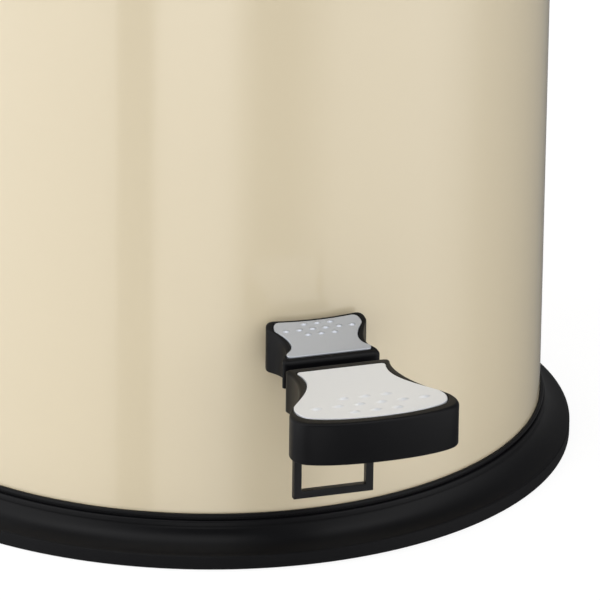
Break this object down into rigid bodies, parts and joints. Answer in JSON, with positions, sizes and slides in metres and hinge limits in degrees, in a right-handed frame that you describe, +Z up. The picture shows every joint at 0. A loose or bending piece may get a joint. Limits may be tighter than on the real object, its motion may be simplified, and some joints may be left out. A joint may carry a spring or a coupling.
{
  "type": "pedal trash can",
  "caption": "Round painted steel pedal bin: black base ring, two-part foot pedal with dimpled metal treads, hinged domed lid worked by a lever and push rod, and a lift-out bucket with a bail.",
  "frame": {"origin": "on the floor, under the middle of the whole bin's box (the body's axis is 38 mm behind it, towards +Y)", "axes": "+Z up, -Y towards the user (the pedal), +Y towards the hinge at the back, +X to the user's right"},
  "size_m": [0.3712, 0.484, 0.682],
  "materials": {
    "cream_paint": "gloss enamel",
    "black_plastic": "satin",
    "tread_metal": "satin",
    "zinc_steel": "plain zinc plate",
    "black_steel": "satin black",
    "grey_plastic": "fine matt",
    "black_rubber": "matt"
  },
  "bodies": {
    "bin_body": {"body_shell": "cream_paint", "base_ring": "black_plastic", "base_plate": "black_plastic", "foot_1": "black_rubber", "foot_2": "black_rubber", "foot_3": "black_rubber", "foot_4": "black_rubber", "pivot_bracket": "black_steel", "bracket_bolt_1": "zinc_steel", "bracket_bolt_2": "zinc_steel", "lever_axle": "zinc_steel", "axle_clip_left": "zinc_steel", "axle_clip_right": "zinc_steel", "rod_guide_1": "black_steel", "rod_guide_2": "black_steel", "guide_rivet_1": "zinc_steel", "guide_rivet_2": "zinc_steel", "guide_rivet_3": "zinc_steel", "guide_rivet_4": "zinc_steel", "top_rim": "black_plastic", "lid_bumper_1": "black_rubber", "lid_bumper_2": "black_rubber", "lid_bumper_3": "black_rubber", "hinge_housing": "black_plastic", "housing_screw_left": "zinc_steel", "housing_screw_right": "zinc_steel", "hinge_pin": "zinc_steel", "carry_grip": "black_plastic"},
    "pedal": {"pedal_lever": "black_steel", "pivot_tube": "zinc_steel", "stop_stirrup": "black_steel", "front_pad": "black_plastic", "front_tread": "tread_metal", "front_pad_bolt": "zinc_steel", "rear_pad": "black_plastic", "rear_tread": "tread_metal", "rear_pad_bolt": "zinc_steel"},
    "rod": {"push_rod": "zinc_steel", "rod_lower_eye": "black_steel", "rod_upper_eye": "black_steel"},
    "lid": {"lid_shell": "cream_paint", "lid_liner": "grey_plastic", "lid_hinge_bracket": "black_plastic", "lid_screw_left": "zinc_steel", "lid_screw_right": "zinc_steel", "crank_plate": "black_steel", "crank_pin": "zinc_steel"},
    "bucket": {"inner_bucket": "grey_plastic", "bucket_ear_left": "grey_plastic", "bucket_ear_right": "grey_plastic"},
    "bail": {"bucket_bail": "zinc_steel", "bail_grip": "grey_plastic"}
  },
  "joints": [
    {"name": "lid_open", "type": "hinge", "parent": "bin_body", "child": "lid", "pos_m": [0, 0.22, 0.63], "axis": [-1, 0, 0], "range_deg": [0, 75]},
    {"name": "pedal_press", "type": "hinge", "parent": "bin_body", "child": "pedal", "pos_m": [0, -0.102, 0.113], "axis": [1, 0, 0], "range_deg": [0, 7.61]},
    {"name": "rod_lift", "type": "slide", "parent": "bin_body", "child": "rod", "axis": [0, 0, 1], "range_m": [0, 0.03897]},
    {"name": "bucket_lift", "type": "slide", "parent": "bin_body", "child": "bucket", "axis": [0, 0, 1], "range_m": [0, 0.006]},
    {"name": "bail_swing", "type": "hinge", "parent": "bucket", "child": "bail", "pos_m": [0, 0.038, 0.6259], "axis": [-1, 0, 0], "range_deg": [0, 6]}
  ],
  "couplings": [
    {"joint": "pedal_press", "follows": "lid_open", "ratio": 0.10144},
    {"joint": "rod_lift", "follows": "lid_open", "m_per_rad": 0.029764}
  ]
}
